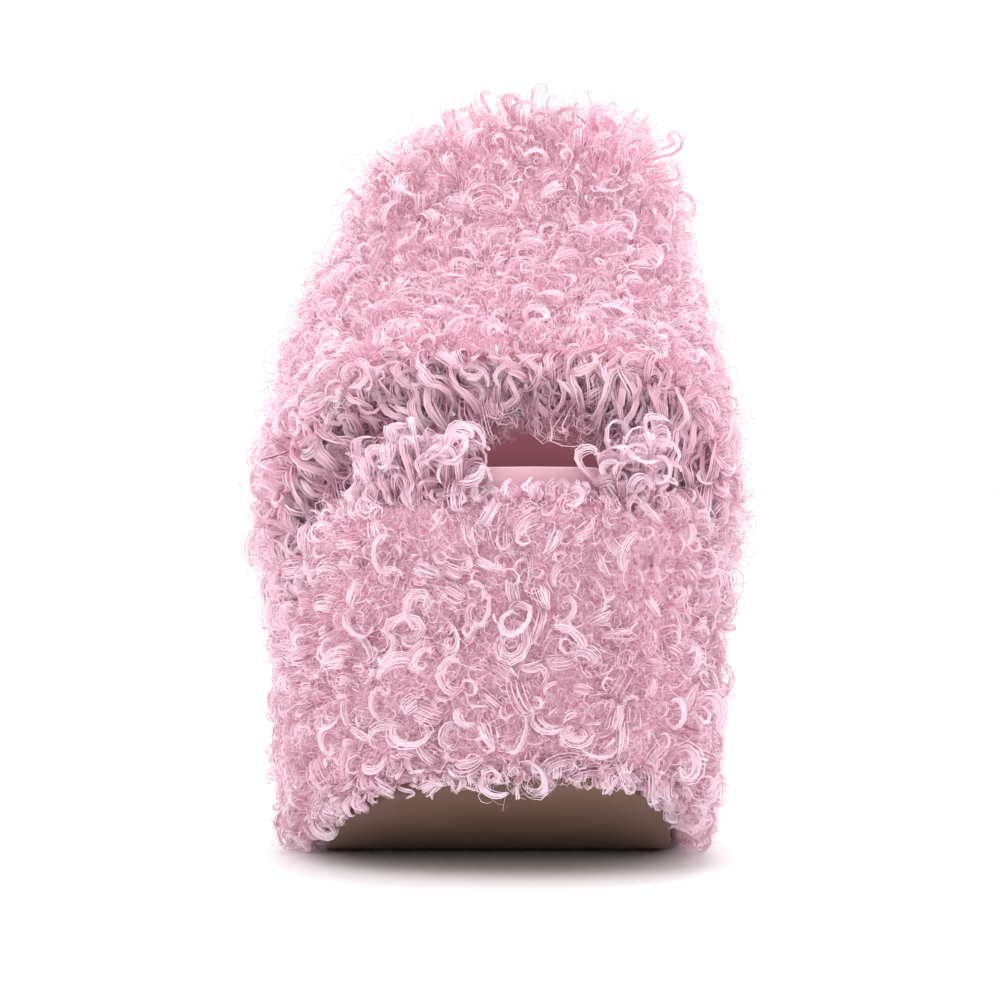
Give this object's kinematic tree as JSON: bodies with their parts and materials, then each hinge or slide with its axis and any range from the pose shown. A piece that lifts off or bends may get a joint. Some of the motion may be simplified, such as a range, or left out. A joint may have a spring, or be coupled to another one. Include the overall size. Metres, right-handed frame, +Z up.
{
  "type": "fluffy platform slipper",
  "caption": "Right-foot open-toe, open-back house slipper with a thick foam platform and a wide vamp, covered in curly fleece, on a smooth rubber outsole.",
  "frame": {"origin": "centre of the bounding box's footprint, on the ground the outsole rests on", "axes": "+Z up, +Y from the toe to the heel, +X to the medial (big toe) side of this right-foot slipper"},
  "size_m": [0.1286, 0.2728, 0.1999],
  "materials": {
    "outsole_rubber": "satin",
    "platform_foam": "matte",
    "insole_fibreboard": "matte",
    "microsuede": "matte",
    "curly_fleece": "matte",
    "lining_cloth": "matte",
    "edge_tape": "matte"
  },
  "bodies": {
    "root": {"outsole": "outsole_rubber", "bottom_filler": "platform_foam", "platform_lower_block": "platform_foam", "platform_upper_block": "platform_foam", "insole_board": "insole_fibreboard", "footbed_foam": "platform_foam", "sock_cover": "microsuede", "footbed_rand": "microsuede", "wrap_toe_strip": "curly_fleece", "wrap_heel_strip": "curly_fleece", "vamp_lining": "lining_cloth", "vamp_foam": "platform_foam", "toe_edge_tape": "edge_tape", "throat_edge_tape": "edge_tape", "vamp_fleece": "curly_fleece", "toe_edge_binding": "microsuede", "throat_edge_binding": "microsuede"}
  },
  "joints": []
}
